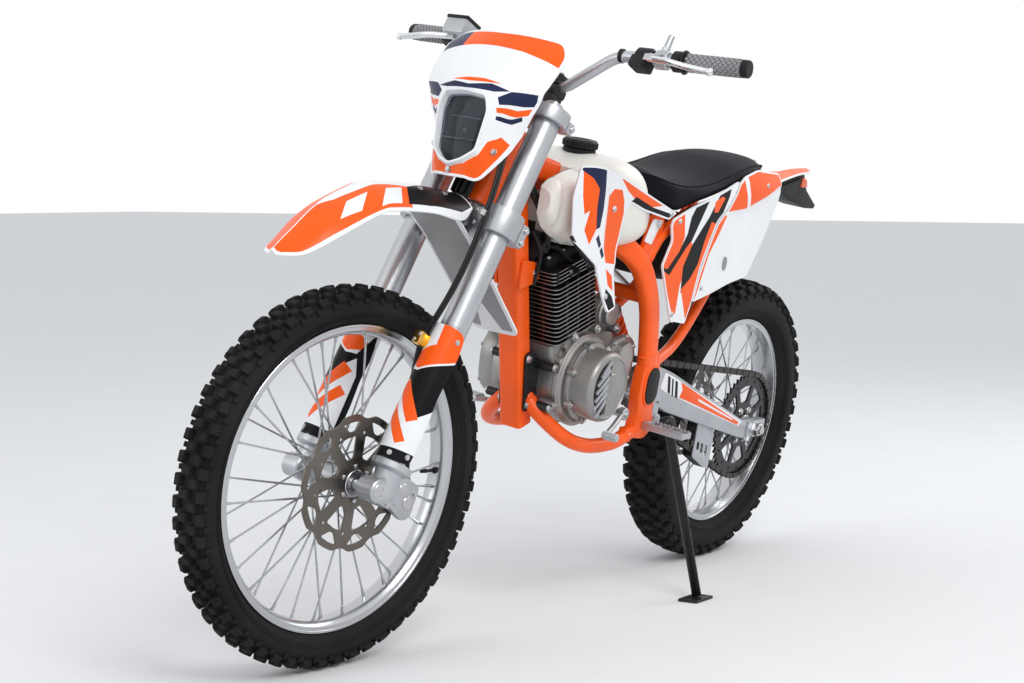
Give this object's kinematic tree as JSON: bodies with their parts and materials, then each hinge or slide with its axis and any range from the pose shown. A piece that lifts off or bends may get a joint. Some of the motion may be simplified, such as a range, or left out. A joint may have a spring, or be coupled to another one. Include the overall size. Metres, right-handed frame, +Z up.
{
  "type": "enduro dirt bike",
  "caption": "Off-road motorcycle leaning on its side stand, with knobbly tyres, spoked wheels, finned engine and steered fork",
  "frame": {"origin": "on the ground under the middle of the parked bike", "axes": "+X forward, +Y to the rider's left, +Z up"},
  "size_m": [2.0902, 0.8356, 1.2053],
  "materials": {
    "frame_paint": "orange powder coat, semi gloss",
    "cast_engine": "cast aluminium, grey paint",
    "black_engine": "black heat paint with bare fin edges",
    "black_metal": "black coat",
    "black_plastic": "moulded, fine grain",
    "steel_pipe": "brushed steel, heat tinted near the port",
    "silver_metal": "satin aluminium",
    "tank_plastic": "translucent off-white",
    "white_plastic": "gloss moulding with orange and navy colour blocks",
    "seat_cover": "black grained vinyl over foam",
    "chain_steel": "dark oiled steel",
    "disc_steel": "ground steel",
    "caliper_metal": "cast silver",
    "rim_metal": "polished aluminium",
    "tyre_rubber": "black rubber",
    "grip_rubber": "grey moulded rubber with black flange",
    "hose_rubber": "black hose",
    "lamp_glass": "dark reflector behind clear lens"
  },
  "bodies": {
    "chassis": {"front_frame": "frame_paint", "spar_frame": "frame_paint", "subframe": "frame_paint", "engine_cases": "cast_engine", "cylinder": "black_engine", "cylinder_head": "black_engine", "engine_covers": "cast_engine", "engine_mounts": "black_metal", "intake": "black_plastic", "exhaust_header": "steel_pipe", "silencer": "silver_metal", "fuel_tank": "tank_plastic", "tank_cap": "black_plastic", "shrouds": "white_plastic", "seat": "seat_cover", "side_panels": "white_plastic", "rear_fender": "white_plastic", "tail_lamp": "black_plastic", "chain": "chain_steel", "drive_sprocket": "chain_steel", "swingarm": "silver_metal", "rear_shock": "black_metal", "chain_guide": "black_plastic", "rear_caliper": "caliper_metal", "foot_controls": "caliper_metal"},
    "steering": {"fork_tubes": "silver_metal", "fork_lowers": "silver_metal", "fork_guards": "white_plastic", "fork_clamps": "silver_metal", "handlebar": "silver_metal", "grips": "grip_rubber", "control_levers": "silver_metal", "number_plate": "white_plastic", "headlamp": "lamp_glass", "front_fender": "white_plastic", "front_caliper": "caliper_metal", "brake_hose": "hose_rubber"},
    "front_wheel": {"front_tyre": "tyre_rubber", "front_rim": "rim_metal", "front_hub": "silver_metal", "front_disc": "disc_steel"},
    "rear_wheel": {"rear_tyre": "tyre_rubber", "rear_rim": "rim_metal", "rear_hub": "silver_metal", "rear_disc": "disc_steel", "rear_sprocket": "chain_steel"},
    "side_stand": {"side_stand": "black_metal"}
  },
  "joints": [
    {"name": "steering_turn", "type": "hinge", "parent": "chassis", "child": "steering", "pos_m": [0.39974, -0.06536, 0.83282], "axis": [-0.4503, 0.172, 0.8761], "range_deg": [-33.4, 50.6]},
    {"name": "front_wheel_spin", "type": "hinge", "parent": "steering", "child": "front_wheel", "pos_m": [0.69699, -0.16702, 0.34835], "axis": [0.1337, 0.9832, -0.1243], "continuous": true},
    {"name": "rear_wheel_spin", "type": "hinge", "parent": "chassis", "child": "rear_wheel", "pos_m": [-0.71463, -0.16434, 0.32704], "axis": [0.0002, 0.9813, -0.1925], "continuous": true},
    {"name": "side_stand_fold", "type": "hinge", "parent": "chassis", "child": "side_stand", "pos_m": [-0.23468, -0.01602, 0.36676], "axis": [0.0276, 0.9789, 0.2027], "range_deg": [0, 80]}
  ]
}
